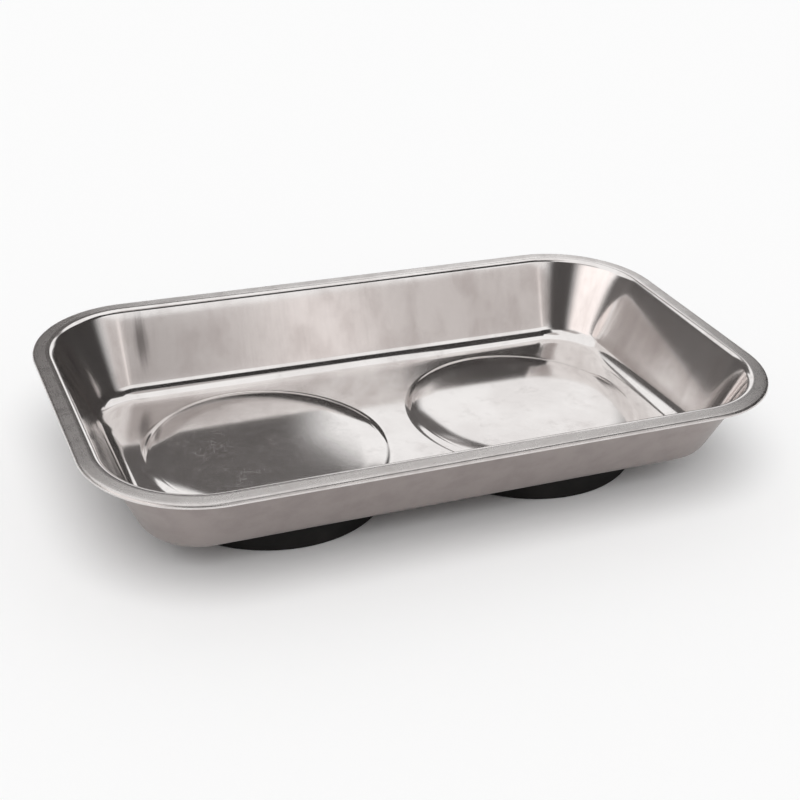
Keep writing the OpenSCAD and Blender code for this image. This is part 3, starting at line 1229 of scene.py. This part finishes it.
@dataclass
class Studio:
    """White floor under an even white sky, with dark and bright cards for the metal to reflect.

    The floor lies a hair below the feet, which it leaves open for light from below, short of their edge by
    the foot margin. Lengths are in millimetres and the lamp's angles in degrees.
    """

    reach: float = 4000.0
    gap: float = 0.05
    ambient: float = 0.45
    key: float = 0.55
    lamp_tilt: float = 32.0
    lamp_turn: float = -24.0
    lamp_spread: float = 50.0
    foot_margin: float = 2.0
    cards: list[Card] = field(default_factory=lambda: [
        Card("card_behind_left", (
            (-8, -84, -10), (20, -84, 10), (25, -68, 19), (28, -60, 21.4), (31, -52, 20.6), (33, -44, 19),
            (36, -30, 15), (41.5, -14, 13),
        ), 0.105, (0.22, 0.05, 0.1, 0.07)),
        Card("card_behind_haze", (
            (30.3, 2, 20.4), (31.2, 2, 22.4), (33, 2, 27), (36, 2, 27), (41, 2, 15),
        ), 0.115, (0.6, 0.16, 0.08, 0.2), 1550.0),
        Card("card_behind_far", ((-7, -83, -26), (22, -83, -30)), 0.15, (0.1, 0.3, 0.1, 0.3), 1550.0),
        Card("card_behind_arc", ((37.5, 10, 32), (42, 10, 32)), 0.25, (0.2, 0.3, 0.35, 0.35)),
        Card("card_behind_rim", ((33.2, 21, 45), (40.5, 20, 45)), 0.12, (0.25, 0.15, 0.2, 0.15)),
        Card("card_behind_low", ((-8, -20, 44), (14, -20, 44)), 0.15, (0.2, 0.1, 0.1, 0.35)),
        Card("card_right", (
            (-8, 35, 142), (26, 36, 142), (35, 36, 142), (45, 84, 142), (66.3, 92, 136),
        ), 0.05, (0.13, 0.2, 0.1, 0.015)),
        Card("card_camera", ((8, -196, -126), (45, -192, -120), (54, -188, -124)), 0.07,
             (0.28, 0.36, 0.12, 0.12)),
        Card("card_front_fill", ((2, 122, 190), (28, 122, 190)), 0.62, (0.38, 0.12, 0.1, 0.1), 1700.0),
        Card("card_front_bright", ((2, 155, 165), (28, 155, 165)), 0.95, (0.5, 0.5, 0.1, 0.1), 1650.0),
        Card("card_front_dim", ((2, 162, 178), (28, 162, 178)), 0.52, (0.4, 0.4, 0.1, 0.1), 1650.0),
        Card("card_front_top", ((44, 118, 186), (60, 116, 178), (70, 120, 170)), 0.03,
             (0.1, 0.2, 0.06, 0.15)),
        Card("card_left_box", ((6, -146, -62), (38, -146, -62)), 1.25, (0.25, 0.3, 0.15, 0.15), 1650.0),
        Card("card_left_top", ((40.6, -156, -86), (60, -156, -96)), 0.48, (0.3, 0.2, 0.05, 0.3)),
        Card("card_top_front", ((67, 105, 195), (86, 105, 195)), 0.45, (0.4, 0.4, 0.15, 0.3)),
    ])

    def build(self) -> None:
        """Builds the sky, the floor and the cards."""
        scene = bpy.context.scene
        scene.view_settings.view_transform = "Standard"
        world = bpy.data.worlds.new("sky")
        scene.world = world
        wires = Wiring(world)
        path = wires.add("ShaderNodeLightPath", {}, {})
        rays = ("Camera", "Glossy", "Transmission")
        seen = sum(Value(wires, path.outputs[f"Is {ray} Ray"]) for ray in rays)
        strength = self.ambient + seen.clamped() * (1.0 - self.ambient)
        sky = wires.add("ShaderNodeBackground", {}, {"Color": rgb(1.0, 1.0, 1.0), "Strength": strength})
        wires.add("ShaderNodeOutputWorld", {}, {"Surface": sky.outputs[0]})
        self.floor()
        self.lamp()
        for card in self.cards:
            card.build()

    def lamp(self) -> None:
        """Hangs one large soft lamp above and in front of the tray, over the camera's shoulder."""
        data = bpy.data.lights.new("key", "SUN")
        data.energy = self.key * math.pi / math.cos(math.radians(self.lamp_tilt))
        data.angle = math.radians(self.lamp_spread)
        lamp = bpy.data.objects.new("key", data)
        lamp.rotation_euler = (math.radians(self.lamp_tilt), 0.0, math.radians(self.lamp_turn))
        lamp.visible_camera = lamp.visible_glossy = False
        bpy.context.scene.collection.objects.link(lamp)

    def floor(self) -> None:
        """Lays the white floor, clear from below and open right under the feet, to let light up to them."""
        span = np.linspace(-self.reach, self.reach, 5)
        x, y = np.meshgrid(span, span)
        skin = Skin()
        skin.grid(np.stack([x, y, 0.0 * x - self.gap], axis=2), (False, False))
        floor = skin.mesh("floor")
        floor.data.flip_normals()
        made = bpy.data.materials.new("floor")
        wires = Wiring(made)
        below = Value(wires, wires.add("ShaderNodeNewGeometry", {}, {}).outputs["Backfacing"])
        low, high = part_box("right_rubber_cover")
        middle, radius = (low[0] + high[0]) / 2.0, (high[0] - low[0]) / 2.0
        split = wires.add("ShaderNodeSeparateXYZ", {}, {"Vector": wires.place()})
        x = Value(wires, split.outputs["X"]).math("ABSOLUTE") - middle
        y = Value(wires, split.outputs["Y"])
        hidden = (x * x + y * y).math("LESS_THAN", (radius - self.foot_margin * MM) ** 2)
        paper = wires.add("ShaderNodeBsdfDiffuse", {}, {"Color": rgb(0.97, 0.97, 0.97)})
        clear = wires.add("ShaderNodeBsdfTransparent", {}, {})
        wires.finish(wires.mixed(below.math("MAXIMUM", hidden), paper, clear))
        floor.data.materials.append(made)


def main() -> None:
    """Builds every part of the scene in order."""
    logging.basicConfig(level=logging.INFO, format="%(name)s: %(message)s")
    Studio().build()
    Camera().build()
    PressedPan().build()
    rubber = MouldedRubber("moulded_rubber").material()
    ferrite = SinteredFerrite("sintered_ferrite").material()
    zinc = PlatedMetal("zinc_plate").material()
    spring = PlatedMetal("spring_plate", rgb(0.50, 0.50, 0.51), rgb(0.36, 0.36, 0.37), 0.38).material()
    bare = PlatedMetal("bare_stud", rgb(0.62, 0.60, 0.57), rgb(0.46, 0.43, 0.39), 0.30).material()
    for side in Side:
        MagnetFoot(side, rubber, ferrite, zinc, spring, bare).build()


if __name__ == "__main__":
    main()
